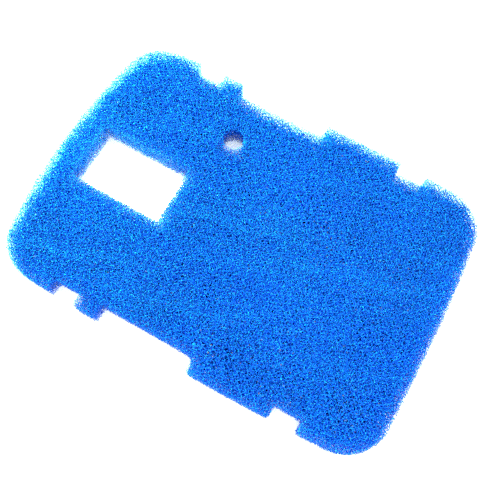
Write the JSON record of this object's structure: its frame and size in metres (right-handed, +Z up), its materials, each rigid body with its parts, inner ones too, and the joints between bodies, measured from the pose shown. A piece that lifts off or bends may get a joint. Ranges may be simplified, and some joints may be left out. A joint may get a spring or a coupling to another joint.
{
  "type": "filter foam pad",
  "caption": "Flat die-cut pad of coarse blue open-cell foam with notched long edges, a rectangular window and a round hole, for a box-shaped pond filter.",
  "frame": {"origin": "middle of the pad's outline, on its underside", "axes": "+X along the pad towards the straighter end, away from the window; +Y across it towards the long edge nearer the round hole; +Z up through its thickness"},
  "size_m": [0.4, 0.2798, 0.025],
  "materials": {
    "foam": "coarse open-cell foam, matt"
  },
  "bodies": {
    "root": {"foam_pad": "foam"}
  },
  "joints": []
}
